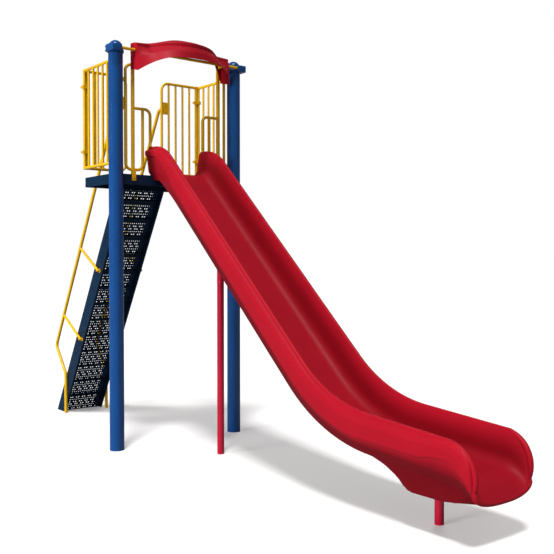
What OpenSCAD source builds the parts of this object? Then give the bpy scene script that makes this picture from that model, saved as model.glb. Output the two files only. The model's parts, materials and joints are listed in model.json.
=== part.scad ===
// Free-standing straight playground slide on two steel posts.
// Frame: +X points down the chute to its exit, +Y is the rider's left, +Z is up.
// Origin: ground level, below the middle of the whole part. Units are millimetres.

/* [Posts] */
// Height of each post tube above ground
post_h = 3536; // [3500:1:3600]
// Outside diameter of a post
post_d = 127; // [114:1:130]
// Wall of a post tube
post_wall = 3.2; // [2.5:0.1:5]
// Distance between the post centres
post_span = 1266; // [1240:1:1300]

/* [Deck] */
// Height of the walking surface above ground
deck_h = 2440; // [2420:1:2460]
// Size of the deck from its front face to its rear face
deck_depth = 572; // [560:1:590]
// Width of the deck across the chute direction
deck_w = 1300; // [1280:1:1320]
// Height of the skirt around the deck
skirt_h = 89; // [80:1:100]
// Thickness of coated deck, step and skirt sheet
sheet_t = 3; // [2.5:0.5:4]

/* [Perforation] */
// Spacing of the round drainage holes
hole_pitch = 25.4; // [22:0.1:30]
// Diameter of the round drainage holes
hole_d = 11; // [8:0.5:13]
// Spacing of the holes across the back panel of a step
panel_pitch = 23.3; // [21:0.1:24]
// Diameter of the holes in the paired rows of a back panel
pair_d = 13; // [10:0.5:14]
// Diameter of the holes in the full rows of a back panel
full_d = 10; // [7:0.5:12]

/* [Chute] */
// Height of the sliding surface above the deck at the entrance
entry_rise = 23; // [20:1:30]
// Steepness of the straight middle run
slope_a = 42.3; // [40:0.1:44]
// Steepness of the run-out
exit_a = 4.5; // [3:0.1:6]
// Height of the side walls above the sliding surface
wall_h = 230; // [200:1:250]
// Skin thickness of the hollow moulding
skin = 6; // [5:0.5:8]
// Distance from the posts to the tip of the chute
chute_tip_x = 3632; // [3600:1:3660]

/* [Supports] */
// Outside diameter of both chute support pipes
support_d = 60.3; // [48.3:0.1:73]
// Distance from the posts to the middle support
mid_support_x = 690; // [650:1:720]
// Distance from the posts to the exit support
exit_support_x = 3123; // [3110:1:3200]

/* [Stair] */
// Number of rises from ground to deck
rises = 14; // [14:1:14]
// Steepness of the stair
stair_a = 59.5; // [59:0.1:60]
// Half the width between the outer faces of the stringers
stair_half_w = 224; // [215:1:228]
// Width of a stringer measured square to its slope
stringer_w = 160; // [150:1:170]

/* [Rails] */
// Outside diameter of handrails and of the entrance uprights
rail_d = 33.4; // [30:0.1:38]
// Outside diameter of bent loops and guardrail frames
frame_d = 26.7; // [25:0.1:30]
// Outside diameter of guardrail pickets
picket_d = 21.3; // [19:0.1:22]
// Wall of every rail tube
rail_wall = 2.6; // [2:0.1:3]
// Height of the top guardrail's centre line
guard_top_z = 3440; // [3420:1:3450]
// Height of the bottom guardrail's centre line
guard_low_z = 2535; // [2525:1:2545]

/* [Hidden] */
$fn = 48;

blue = [0.07, 0.28, 0.60];
navy = [0.02, 0.12, 0.26];
red = [0.78, 0.08, 0.17];
yellow = [0.95, 0.72, 0.08];
zinc = [0.70, 0.72, 0.74];

entry_z = deck_h + entry_rise;
wall_top_z = entry_z + wall_h;

seam_rise = 0.15;
seam_len = 1.2;

// ---------- shared geometry ----------

function step_name(k) = str("step_", k < 10 ? "0" : "", k);
function unit(v) = v / norm(v);
function mirrored(pts) = [for (i = [len(pts) - 1 : -1 : 0]) [-pts[i][0], pts[i][1]]];
function arc_pts(c, r, a0, a1, n) =
    [for (i = [0 : n]) c + r * [cos(a0 + (a1 - a0) * i / n), sin(a0 + (a1 - a0) * i / n)]];
// Counter-clockwise outline moved inwards by t, with mitred corners.
function inset(pts, t) = [for (i = [0 : len(pts) - 1])
    let (n = len(pts), p = pts[i], u = unit(p - pts[(i + n - 1) % n]), v = unit(pts[(i + 1) % n] - p),
         m = [-u[1], u[0]], k = [-v[1], v[0]])
    p + t * (m + k) / (1 + m * k)];

// Both mirror twins of a part that is written on the rider's left.
module right_of() { mirror([0, 1, 0]) children(); }

module rod(a, b, d) {
    v = b - a;
    translate(a)
        rotate([0, acos(v[2] / norm(v)), atan2(v[1], v[0])])
            cylinder(d = d, h = norm(v));
}

// Planes for flat tube work: x and y of the drawing become the two named axes.
module in_xz(y) { translate([0, y, 0]) rotate([90, 0, 0]) children(); }
module in_yz(x) { translate([x, 0, 0]) rotate([90, 0, 90]) children(); }

function wrapped(a) = a > 180 ? a - 360 : a < -180 ? a + 360 : a;

// A round bar along a flat path of points, with an arc of radius r at each inner point.
module bent_rod(p, r, d) {
    last = len(p) - 1;
    head = [for (i = [0 : last - 1]) atan2(p[i + 1][1] - p[i][1], p[i + 1][0] - p[i][0])];
    turn = [for (i = [0 : last]) (i == 0 || i == last) ? 0 : wrapped(head[i] - head[i - 1])];
    cut = [for (a = turn) r * tan(abs(a) / 2)];
    for (i = [0 : last - 1])
        translate(p[i])
            rotate(head[i])
                translate([cut[i], 0, 0])
                    rotate([0, 90, 0])
                        cylinder(d = d, h = norm(p[i + 1] - p[i]) - cut[i] - cut[i + 1]);
    for (i = [1 : 1 : last - 1]) {
        a = head[i - 1];
        b = head[i];
        side = sign(turn[i]);
        start = p[i] - cut[i] * [cos(a), sin(a)];
        finish = p[i] + cut[i] * [cos(b), sin(b)];
        translate(start + side * r * [-sin(a), cos(a)])
            rotate(side > 0 ? a - 90 : a + 90 + turn[i])
                rotate_extrude(angle = abs(turn[i]))
                    translate([r, 0])
                        circle(d = d);
        seam_bead(start, a, d);
        seam_bead(finish, b, d);
    }
}

// Hair-thin bead that joins a bend to its straight neighbour.
module seam_bead(at, a, d) {
    translate(at)
        rotate(a)
            rotate([0, 90, 0])
                cylinder(d = d + 2 * seam_rise, h = seam_len, center = true);
}

// The hollow of the same bar, closed at both ends.
module bent_bore(p, r, d) {
    last = len(p) - 1;
    first_dir = unit(p[1] - p[0]);
    last_dir = unit(p[last] - p[last - 1]);
    end_wall = 4;
    trimmed = [for (i = [0 : last])
        i == 0 ? p[0] + end_wall * first_dir : i == last ? p[last] - end_wall * last_dir : p[i]];
    bent_rod(trimmed, r, d - 2 * rail_wall);
}

// Button-head bolt: its head stands outwards along dir, and its shank is grip long.
module bolt(pos, dir, grip, head = 20) {
    rod(pos, pos + dir * 6, head);
    rod(pos - dir * grip, pos, 9.5);
}
module bolts(list) { for (b = list) bolt(b[0], b[1], b[2]); }
module bolt_holes(list) { for (b = list) rod(b[0] - b[1] * (b[2] + 8), b[0] + b[1] * 2, 10.5); }

// ---------- posts, caps and collars ----------

post_y = post_span / 2;
clamp_low_z = post_h - 49;
clamp_h = 66;
collar_h = 25;
collar_r = 72;
frame_x = -15;
bar_x = 79;
bar_z = post_h - 14;

module post() {
    color(blue)
        difference() {
            translate([0, post_y, 0]) cylinder(d = post_d, h = post_h);
            translate([0, post_y, -1]) cylinder(d = post_d - 2 * post_wall, h = post_h + 2);
            bolt_holes(left_hanger_bolts);
            bolt_holes(left_post_rail_bolts);
        }
}

module post_cap() {
    dome_r = 62;
    plug_r = post_d / 2 - post_wall - 0.3;
    color(blue)
        translate([0, post_y, post_h])
            rotate_extrude()
                polygon(concat(arc_pts([0, 0], dome_r, 0, 90, 18),
                               arc_pts([0, 0], dome_r - 4, 90, 14, 14),
                               [[plug_r - 4, 0], [plug_r - 4, -30], [plug_r, -30], [plug_r, 0]]));
}

// Ring under the cap with a block that holds the end of the horizontal bar in front of the post.
module post_collar() {
    block_w = 44;
    block_in = 18;
    plate_x = -32;
    color(blue)
        difference() {
            union() {
                translate([0, post_y, clamp_low_z]) cylinder(r = collar_r, h = collar_h);
                translate([bar_x - block_w / 2, post_y - block_in, clamp_low_z])
                    cube([block_w, clamp_reach + block_in, clamp_h]);
                translate([plate_x, post_y + 60, clamp_low_z])
                    cube([bar_x - plate_x, clamp_reach - 60, clamp_h]);
            }
            translate([0, post_y, clamp_low_z - 1]) cylinder(d = post_d + 0.4, h = clamp_h + 2);
            rod([bar_x, post_y - block_in - 1, bar_z], [bar_x, bar_half + 4, bar_z], frame_d + 0.3);
            bolt_holes(left_collar_bolts);
        }
}

clamp_reach = 82;
left_collar_bolts = [for (z = [15, 51]) [[-32, post_y + 72, clamp_low_z + z], [-1, 0, 0], 60]];

// ---------- horizontal bar and entrance enclosures ----------

upright_y = 458;
bar_half = post_y + 60;

module hood_bar() {
    color(yellow)
        difference() {
            rod([bar_x, -bar_half, bar_z], [bar_x, bar_half, bar_z], frame_d);
            rod([bar_x, -bar_half - 1, bar_z], [bar_x, bar_half + 1, bar_z], frame_d - 2 * rail_wall);
        }
}

// Blocks inside the hood that clamp its rear board and the uprights to the horizontal bar.
module hood_brackets() {
    bracket_w = 26;
    front = bar_x + frame_d / 2 + 8;
    color(yellow)
        difference() {
            for (s = [-1, 1])
                translate([hood_back + hood_skin + 0.3, s * upright_y - bracket_w / 2, bar_z - 20])
                    cube([front - hood_back - hood_skin, bracket_w, 40]);
            rod([bar_x, -bar_half, bar_z], [bar_x, bar_half, bar_z], frame_d + 0.3);
            bolt_holes(hood_bolt_list);
        }
}

loop_r = 55;
outer_loop = [[upright_y, 3410], [530, 3410], [530, 2483], [359, 2483], [359, 3030]];
inner_loop = [[upright_y, 3030], [282, 3030], [282, wall_top_z + 3]];
upright_top = bar_z + 40;
upright_line = [[upright_y, deck_h + 1], [upright_y, upright_top]];

module enclosure() {
    tab_w = 40;
    color(yellow)
        difference() {
            union() {
                in_yz(frame_x) {
                    bent_rod(upright_line, 1, rail_d);
                    bent_rod(outer_loop, loop_r, frame_d);
                    bent_rod(inner_loop, loop_r, frame_d);
                }
                // flattened foot tab bolted to the face of the deck
                translate([1, upright_y - tab_w / 2, deck_h - 56]) cube([6, tab_w, 90]);
                translate([frame_x, upright_y - tab_w / 2, deck_h + 1]) cube([20, tab_w, 33]);
                // foot of the inner loop on the rim of the chute
                translate([frame_x - 16, 282 - 16, wall_top_z + 1]) cube([44, 32, 5]);
            }
            in_yz(frame_x) {
                bent_bore(upright_line, 1, rail_d);
                bent_bore(outer_loop, loop_r, frame_d);
                bent_bore(inner_loop, loop_r, frame_d);
            }
            bolt_holes(left_enclosure_bolts);
            bolt_holes(hood_bolt_list);
        }
}

left_enclosure_bolts = [
    [[7, upright_y, deck_h - 26], [1, 0, 0], 12],
    [[frame_x + 20, 282, wall_top_z + 6], [0, 0, 1], 12]];

// ---------- deck ----------

lip_w = 20;
notch_r = post_d / 2 + 8;

module hole_grid(cols, rows, pitch) {
    for (i = [0 : cols - 1])
        for (j = [0 : rows - 1])
            translate([(i - (cols - 1) / 2) * pitch, (j - (rows - 1) / 2) * pitch])
                circle(d = hole_d, $fn = 16);
}

module deck() {
    low = deck_h - skirt_h;
    ribs = 4;
    rib_h = 50;
    rib_pitch = 10 * hole_pitch;
    color(navy)
        difference() {
            union() {
                translate([-deck_depth, -deck_w / 2, deck_h - sheet_t])
                    linear_extrude(sheet_t)
                        difference() {
                            square([deck_depth, deck_w]);
                            translate([deck_depth / 2, deck_w / 2])
                                rotate(90) hole_grid(44, 19, hole_pitch);
                        }
                for (x = [-deck_depth, -sheet_t])
                    translate([x, -deck_w / 2, low]) cube([sheet_t, deck_w, skirt_h]);
                for (y = [-deck_w / 2, deck_w / 2 - sheet_t])
                    translate([-deck_depth, y, low]) cube([deck_depth, sheet_t, skirt_h]);
                for (x = [-deck_depth, -lip_w])
                    translate([x, -deck_w / 2, low]) cube([lip_w, deck_w, sheet_t]);
                // stiffening ribs welded under the top sheet, clear of the hole rows
                for (i = [0 : ribs - 1])
                    translate([-deck_depth, (i - (ribs - 1) / 2) * rib_pitch - sheet_t / 2, deck_h - rib_h])
                        cube([deck_depth, sheet_t, rib_h - sheet_t / 2]);
            }
            for (s = [-1, 1])
                translate([0, s * post_y, low - 1]) cylinder(r = notch_r, h = skirt_h + 2);
            bolt_holes(chute_bolt_list);
            both_holes(left_enclosure_bolts);
            both_holes(top_stringer_bolts);
        }
}

module both_holes(list) {
    bolt_holes(list);
    right_of() bolt_holes(list);
}

// Bent brackets that carry the deck's corners on the posts.
module deck_hanger() {
    ring_r = post_d / 2;
    difference() {
        union() {
            translate([0, post_y, deck_h - 76]) cylinder(r = ring_r + 6, h = 64);
            translate([-110, deck_w / 2 - sheet_t - 6, deck_h - 76]) cube([60, 5.5, 64]);
            translate([-sheet_t - 6, post_y - 120, deck_h - 76]) cube([5.5, 60, 64]);
        }
        translate([0, post_y, deck_h - 80]) cylinder(r = ring_r + 0.3, h = 80);
        translate([0, post_y - 50, deck_h - 80]) cube([100, 130, 80]);
        translate([-50, deck_w / 2 - sheet_t, deck_h - 80]) cube([150, 80, 80]);
        bolt_holes(left_hanger_bolts);
    }
}

hanger_dir = unit([-1, -1, 0]);
left_hanger_bolts = [[[0, post_y, deck_h - 44] + hanger_dir * (post_d / 2 + 6.5), hanger_dir, 14]];

module deck_hangers() {
    color(navy) {
        deck_hanger();
        right_of() deck_hanger();
    }
}

// ---------- guardrails ----------

corner_x = -619;
side_pitch = 92;
rear_x = corner_x - 3;
rear_open_y = 199;
rear_pitch = 81;
rear_end_y = rear_open_y + 5 * rear_pitch;
plate_z = [3130, 3250];

post_face_x = -post_d / 2 - 1;
side_frame = [for (z = [guard_low_z, guard_top_z]) [[corner_x, z], [post_face_x, z]]];
side_corner = [[corner_x, guard_low_z - frame_d / 2], [corner_x, guard_top_z + frame_d / 2]];
function side_picket(k) =
    [[corner_x + k * side_pitch, guard_low_z], [corner_x + k * side_pitch, guard_top_z]];

module side_guardrail() {
    color(yellow)
        difference() {
            union() {
                in_xz(post_y) {
                    bent_rod(side_corner, 1, frame_d);
                    for (line = side_frame) bent_rod(line, 1, frame_d);
                    for (k = [1 : 5]) bent_rod(side_picket(k), 1, picket_d);
                }
                for (z = [guard_low_z, guard_top_z])
                    translate([post_face_x - 8, post_y - 20, z - 32]) cube([14, 40, 64]);
            }
            in_xz(post_y) {
                bent_bore(side_corner, 1, frame_d);
                for (line = side_frame) bent_bore(line, 1, frame_d);
                for (k = [1 : 5]) bent_bore(side_picket(k), 1, picket_d);
            }
            translate([0, post_y, guard_low_z - 100]) cylinder(d = post_d + 0.6, h = 1200);
            bolt_holes(left_post_rail_bolts);
        }
}

left_post_rail_bolts = [for (z = [guard_low_z, guard_top_z], s = [-24, 24])
    [[-post_d / 2 - 9, post_y, z + s], [-1, 0, 0], 18]];

rear_frame = [[rear_end_y, guard_low_z], [rear_open_y, guard_low_z],
              [rear_open_y, guard_top_z], [rear_end_y, guard_top_z]];
rear_corner = [[rear_end_y, guard_low_z - frame_d / 2], [rear_end_y, guard_top_z + frame_d / 2]];
rear_bend_r = 75;
function rear_picket(k) =
    [[rear_open_y + k * rear_pitch, guard_low_z], [rear_open_y + k * rear_pitch, guard_top_z]];

module rear_guardrail() {
    color(yellow)
        difference() {
            union() {
                in_yz(rear_x) {
                    bent_rod(rear_frame, rear_bend_r, frame_d);
                    bent_rod(rear_corner, 1, frame_d);
                    for (k = [1 : 4]) bent_rod(rear_picket(k), 1, picket_d);
                }
                // plate that carries the top of the handrail
                translate([rear_x - 2.5, rear_open_y, plate_z[0]])
                    cube([5, rear_pitch, plate_z[1] - plate_z[0]]);
            }
            in_yz(rear_x) {
                bent_bore(rear_frame, rear_bend_r, frame_d);
                bent_bore(rear_corner, 1, frame_d);
                for (k = [1 : 4]) bent_bore(rear_picket(k), 1, picket_d);
            }
            bolt_holes([left_handrail_bolts[0], left_handrail_bolts[1]]);
        }
}

clamp_levels = [guard_low_z + 150, guard_top_z - 150];

module corner_clamp(z) {
    mid_y = (post_y + rear_end_y) / 2;
    difference() {
        translate([rear_x - 18, mid_y - 34, z - 15]) cube([39, 68, 30]);
        rod([corner_x, post_y, z - 20], [corner_x, post_y, z + 20], frame_d + 0.4);
        rod([rear_x, rear_end_y, z - 20], [rear_x, rear_end_y, z + 20], frame_d + 0.4);
        bolt_holes(left_clamp_bolts);
    }
}

left_clamp_bolts = [for (z = clamp_levels, y = [rear_end_y - 17, post_y + 17])
    [[rear_x - 18, y, z], [-1, 0, 0], 34]];

module corner_clamps() {
    color(yellow)
        for (z = clamp_levels) {
            corner_clamp(z);
            right_of() corner_clamp(z);
        }
}

// ---------- hood ----------

hood_half_w = 487;
hood_skin = 5;
hood_back = 2.5;
function clamp01(t) = min(1, max(0, t));
// Shapes across the width: forward bulge, height of the crown, and the raised ridge over the middle.
function bulge(y) = 1 - pow(abs(y) / hood_half_w, 3.2);
function crown(y) = 1 / (1 + pow(abs(y) / 270, 4));
function ridge(y) = max(0, 1 - pow(y / 360, 2));
function rear_low(y) = 3367 + 215 * (1 - pow(1 - clamp01((hood_half_w - hood_skin - abs(y)) / 130), 1.8));
// Outer section from the rear edge, over the crown and the groove, to the front lip.
function hood_outer(y) =
    let (lip = [140 + 212 * bulge(y), 3334 + 127 * bulge(y)],
         groove = [122 + 195 * ridge(y), 3546 + 16 * min(1, 2 * ridge(y))],
         ledge = 4 + 10 * min(1, 2.5 * ridge(y)))
    [[hood_back, rear_low(y)],
     [hood_back, 3590 + 22 * crown(y)],
     [45 + 20 * ridge(y), 3588 + 45 * crown(y)],
     [98 + 90 * ridge(y), 3578 + 70 * crown(y)],
     groove + [-0.4 * ledge, 30 + 12 * crown(y)],
     groove + [-ledge, 6],
     groove + [8, -4],
     groove + [0.55 * (lip[0] - groove[0]) + 8, 0.42 * (lip[1] - groove[1])],
     lip];
// The same places on the inside of the skin.
function hood_inner(y) =
    let (p = hood_outer(y), last = len(p) - 1)
    [for (i = [0 : last])
        i == 0 ? p[0] + [hood_skin, 0] : i == last ? p[last] - [hood_skin, 0]
        : let (u = unit(p[i + 1] - p[i - 1])) p[i] + hood_skin * [u[1], -u[0]]];
hood_spans = 28;
inner_half_w = hood_half_w - hood_skin;
function hood_y(i) = i == 0 ? -hood_half_w : i == hood_spans ? hood_half_w
    : -inner_half_w + 2 * inner_half_w * (i - 1) / (hood_spans - 2);

// Open-bottomed shell with a wall at each end, as one closed surface.
module hood_shell() {
    m = len(hood_outer(0));
    n = hood_spans;
    shift = n * m;
    points = concat(
        [for (i = [0 : n]) for (p = hood_outer(hood_y(i))) [p[0], hood_y(i), p[1]]],
        [for (i = [1 : n - 1]) for (p = hood_inner(hood_y(i))) [p[0], hood_y(i), p[1]]]);
    skins = [for (i = [0 : n - 1]) for (j = [0 : m - 2])
        [i * m + j, (i + 1) * m + j, (i + 1) * m + j + 1, i * m + j + 1]];
    linings = [for (i = [1 : n - 2]) for (j = [0 : m - 2])
        [shift + i * m + j, shift + i * m + j + 1, shift + (i + 1) * m + j + 1, shift + (i + 1) * m + j]];
    front_rim = [for (i = [1 : n - 2]) [i * m + m - 1, (i + 1) * m + m - 1,
                                        shift + (i + 1) * m + m - 1, shift + i * m + m - 1]];
    rear_rim = [for (i = [1 : n - 2]) [shift + i * m, shift + (i + 1) * m, (i + 1) * m, i * m]];
    ends = [
        [for (j = [0 : m - 1]) j],
        [for (j = [m - 1 : -1 : 0]) n * m + j],
        [for (j = [m - 1 : -1 : 0]) shift + m + j],
        [for (j = [0 : m - 1]) shift + (n - 1) * m + j],
        [m - 1, 2 * m - 1, shift + 2 * m - 1, shift + m, m, 0],
        [n * m - 1, n * m + m - 1, n * m, (n - 1) * m, shift + (n - 1) * m, shift + n * m - 1]];
    polyhedron(points, concat(skins, linings, front_rim, rear_rim, ends), convexity = 6);
}

module hood() {
    color(red)
        difference() {
            hood_shell();
            bolt_holes(hood_bolt_list);
            // the horizontal bar passes through both end walls
            for (y = [-hood_half_w, hood_half_w])
                rod([bar_x, y - 12, bar_z], [bar_x, y + 12, bar_z], frame_d + 1.6);
        }
}

hood_bolt_list = [for (s = [-1, 1])
    [[frame_x - rail_d / 2 - 0.5, s * upright_y, bar_z], [-1, 0, 0], 62]];

// ---------- chute ----------

entry_x0 = -45;
top_r = 220;
low_r = 1320;
lip_r = 248;
lip_turn = 56.4;
hull_drop = 38;
// Where the straight runs of the sliding surface would meet.
knee_1 = [125, entry_z];
knee_2_x = 2296;
knee_2 = [knee_2_x, entry_z - (knee_2_x - knee_1[0]) * tan(slope_a)];
cut_1 = top_r * tan(slope_a / 2);
cut_2 = low_r * tan((slope_a - exit_a) / 2);
lip_x = chute_tip_x - 192;
run_dir = [cos(slope_a), -sin(slope_a)];
exit_dir = [cos(exit_a), -sin(exit_a)];
lip_start = knee_2 + exit_dir * (lip_x - knee_2[0]) / cos(exit_a);
function run_z(x) = knee_1[1] - (x - knee_1[0]) * tan(slope_a);
function exit_z(x) = knee_2[1] - (x - knee_2[0]) * tan(exit_a);

// Half outline of the hollow section: lateral place, then height above the sliding surface.
rim_half = concat(
    [[262, -hull_drop], [275, 8 - hull_drop], [281, 20 - hull_drop], [300, wall_h - 158], [312, wall_h - 146],
     [318, wall_h - 110], [320, wall_h - 65], [315, wall_h - 45], [304, wall_h - 34], [296, wall_h - 24],
     [290, wall_h - 8], [278, wall_h], [268, wall_h - 4], [262, wall_h - 18], [257, wall_h - 110]],
    arc_pts([175, 75], 75, 0, -90, 6));
section = concat(rim_half, mirrored(rim_half));

// The section swept along one straight run that starts at p and goes len along dir.
module straight_run(p, dir, length, outline) {
    a = atan2(-dir[1], dir[0]);
    translate([p[0], 0, p[1]])
        rotate([0, a, 0])
            rotate([90, 0, 90])
                linear_extrude(length)
                    polygon(outline);
}

// The section swept about a lateral axis at c. side is 1 for a crest and -1 for a hollow.
module curved_run(c, r, a0, a1, side, outline) {
    translate([c[0], 0, c[1]])
        rotate([90, 0, 0])
            rotate([0, 0, a0])
                rotate_extrude(angle = a1 - a0, $fn = 96)
                    polygon([for (p = outline) [r + side * p[1], p[0]]]);
}

// in_by is 0 for the outer body and the skin thickness for its cavity.
module swept_body(in_by) {
    outline = inset(section, in_by);
    crest_c = [knee_1[0] - cut_1, entry_z - top_r];
    hollow_end = knee_2 + exit_dir * cut_2;
    hollow_c = hollow_end + low_r * [sin(exit_a), cos(exit_a)];
    lip_c = lip_start - lip_r * [sin(exit_a), cos(exit_a)];
    run_start = knee_1 + run_dir * cut_1;
    straight_run([entry_x0 + in_by, entry_z], [1, 0], crest_c[0] - entry_x0 - in_by, outline);
    curved_run(crest_c, top_r, 90 - slope_a, 90, 1, outline);
    straight_run(run_start, run_dir, norm(knee_2 - knee_1) - cut_1 - cut_2, outline);
    curved_run(hollow_c, low_r, 270 - slope_a, 270 - exit_a, -1,
               [for (i = [len(outline) - 1 : -1 : 0]) outline[i]]);
    straight_run(hollow_end, exit_dir, norm(lip_start - hollow_end), outline);
    curved_run(lip_c, lip_r, 90 - exit_a - lip_turn, 90 - exit_a, 1, outline);
    // seams that join the straight and curved runs
    seam_outline = inset(section, in_by - seam_rise);
    for (seam = [[[crest_c[0], entry_z], [1, 0]], [run_start, run_dir], [knee_2 - run_dir * cut_2, run_dir],
                 [hollow_end, exit_dir], [lip_start, exit_dir]])
        straight_run(seam[0] - seam[1] * seam_len / 2, seam[1], seam_len, seam_outline);
}

// Space the chute may fill: it rounds off the walls and the lip at the tip.
lip_half = [[0, 258], [100, 268], [160, 283], [205, 304], [245, 332], [275, 366], [300, 410], [315, 460],
            [330, 560], [330, 800]];
module nose_limit(in_by) {
    nose_c = [lip_x, exit_z(lip_x) + 42];
    reach = chute_tip_x - lip_x - in_by;
    front = concat(lip_half, [for (i = [len(lip_half) - 1 : -1 : 1]) [-lip_half[i][0], lip_half[i][1]]]);
    intersection() {
        translate([0, 400, 0])
            rotate([90, 0, 0])
                linear_extrude(800) {
                    translate([entry_x0 - 10, 0]) square([lip_x - entry_x0 + 10, 3000]);
                    translate(nose_c) circle(reach);
                    translate([lip_x - 1, nose_c[1] - reach]) square([reach + 1 - 2, reach]);
                }
        union() {
            translate([entry_x0 - 10, -400, 0]) cube([lip_x - entry_x0 + 10, 800, 3000]);
            translate([lip_x - 1, 0, 0])
                rotate([90, 0, 90])
                    linear_extrude(chute_tip_x - lip_x + 10)
                        polygon(inset(front, in_by));
        }
    }
}

foot_low_z = 243;
foot_half_w = 256;
foot_side = concat(
    [[2760, exit_z(2760) - 20], [2742, 416], [2880, 372], [2990, 318]],
    [[3062, 262], [3098, foot_low_z], [3350, foot_low_z], [3430, 256], [3520, 284], [3580, 316]],
    [[3540, exit_z(3540) - 58], [3440, exit_z(3440) - 20]]);
// Deeper hull below the entrance, in front of the deck.
throat_half_w = 258;
throat_side = [[3, deck_h - 46], [100, deck_h - 52], [152, deck_h - 75], [203, deck_h - 127],
               [300, deck_h - 205], [430, run_z(430) - 54], [430, run_z(430) - 12], [188, run_z(188) - 12],
               [125, deck_h], [3, deck_h + 10]];

// Hollow block below the hull, drawn in side view.
module side_block(outline, half_w, in_by) {
    translate([0, half_w - in_by, 0])
        rotate([90, 0, 0])
            linear_extrude(2 * (half_w - in_by))
                polygon(inset(outline, in_by));
}

module added_blocks(in_by) {
    side_block(foot_side, foot_half_w, in_by);
    side_block(throat_side, throat_half_w, in_by);
}

module chute() {
    socket_h = 87;
    flange_t = 8;
    flange_h = 58;
    flange_half_w = throat_half_w - 8;
    color(red)
        difference() {
            union() {
                difference() {
                    union() {
                        intersection() {
                            swept_body(0);
                            nose_limit(0);
                        }
                        added_blocks(0);
                    }
                    intersection() {
                        swept_body(skin);
                        nose_limit(skin);
                    }
                    added_blocks(skin);
                }
                // socket for the exit support
                translate([exit_support_x, 0, foot_low_z]) cylinder(d = support_d + 12, h = socket_h);
                // flange that bolts to the face of the deck
                translate([1, -flange_half_w, deck_h - 46]) cube([flange_t, 2 * flange_half_w, flange_h]);
            }
            // room for the deck under the entrance
            translate([-100, -400, deck_h - 200]) cube([101, 800, 203]);
            translate([exit_support_x, 0, foot_low_z - 1]) cylinder(d = support_d + 0.6, h = socket_h - 8);
            bolt_holes(chute_bolt_list);
            bolt_holes(saddle_bolt_list);
            both_holes([left_enclosure_bolts[1]]);
        }
}

chute_bolt_list = [for (y = [-225, -75, 75, 225]) [[-sheet_t - 0.2, y, deck_h - 24], [-1, 0, 0], 12]];

// ---------- chute supports ----------

run_up = [sin(slope_a), 0, cos(slope_a)];
run_along = [cos(slope_a), 0, -sin(slope_a)];
saddle_top = [mid_support_x, 0, run_z(mid_support_x)] - run_up * (hull_drop + 1);
saddle_bolt_list = [for (s = [-55, 55])
    [[mid_support_x, 0, run_z(mid_support_x)] - run_up * (hull_drop + 8) + run_along * s, -run_up, 24]];

module saddle_slab(w, thick, half_len) {
    translate(saddle_top)
        rotate([0, slope_a, 0])
            translate([-half_len, -w / 2, -thick])
                cube([2 * half_len, w, thick]);
}

module mid_support() {
    color(red)
        difference() {
            translate([mid_support_x, 0, 0]) cylinder(d = support_d, h = 1900);
            translate([mid_support_x, 0, -1]) cylinder(d = support_d - 7.8, h = 2000);
            translate(saddle_top)
                rotate([0, slope_a, 0])
                    translate([-200, -100, -8]) cube([400, 200, 300]);
        }
}

module mid_support_saddle() {
    sleeve_r = support_d / 2 + 5;
    color(red)
        difference() {
            union() {
                saddle_slab(110, 6, 85);
                difference() {
                    translate([mid_support_x, 0, saddle_top[2] - 130]) cylinder(r = sleeve_r, h = 130);
                    translate([mid_support_x, 0, saddle_top[2] - 140]) cylinder(d = support_d + 0.4, h = 300);
                    translate(saddle_top)
                        rotate([0, slope_a, 0])
                            translate([-200, -100, -3]) cube([400, 200, 300]);
                }
            }
            bolt_holes(saddle_bolt_list);
        }
}

module exit_support() {
    color(red)
        difference() {
            translate([exit_support_x, 0, 0]) cylinder(d = support_d, h = foot_low_z + 76);
            translate([exit_support_x, 0, -1]) cylinder(d = support_d - 7.8, h = 400);
        }
}

// ---------- stair ----------

rise = deck_h / rises;
stair_foot_x = -deck_depth - 1 - deck_h / tan(stair_a);
function front_x(z) = stair_foot_x + z / tan(stair_a);
stringer_run = stringer_w / sin(stair_a);
tread_back = 25;
tread_depth = 152;
step_half_w = stair_half_w - 7;
centre_x = (chute_tip_x + front_x(0) - stringer_run) / 2;

module stringer_band(from_front, to_front) {
    top = deck_h - 1;
    polygon([[front_x(0) - to_front, 0], [front_x(0) - from_front, 0],
             [front_x(top) - from_front, top], [front_x(top) - to_front, top]]);
}

module stringer() {
    web = 5;
    flange = 16;
    color(navy)
        difference() {
            union() {
                translate([0, stair_half_w, 0])
                    rotate([90, 0, 0]) linear_extrude(web) stringer_band(0, stringer_run);
                translate([0, stair_half_w, 0])
                    rotate([90, 0, 0])
                        linear_extrude(flange) {
                            stringer_band(0, web);
                            stringer_band(stringer_run - web, stringer_run);
                        }
            }
            bolt_holes(left_step_bolts);
            bolt_holes(left_handrail_side_bolts);
        }
}

// Tab on the stringer side of the deck's rear skirt.
top_stringer_bolts = [[[-deck_depth + sheet_t + 1, 150, deck_h - 44], [1, 0, 0], 10]];

tread_holes_y = 16;
panel_rows = 6;
panel_cols = 8;
row_rise = 26.5;
panel_back = 62;

// Rows of holes in a back panel: full rows, and rows of pairs staggered one above the other.
module panel_holes() {
    for (r = [0 : panel_rows - 1]) {
        up = (r - (panel_rows - 1) / 2) * row_rise / sin(stair_a);
        kind = (r + 1) % 3;
        for (c = [-panel_cols : panel_cols])
            if (kind == 2 || (c + 3 * panel_cols + kind) % 3 != 1)
                translate([c * panel_pitch, up]) circle(d = kind == 2 ? full_d : pair_d, $fn = 16);
    }
}

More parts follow.
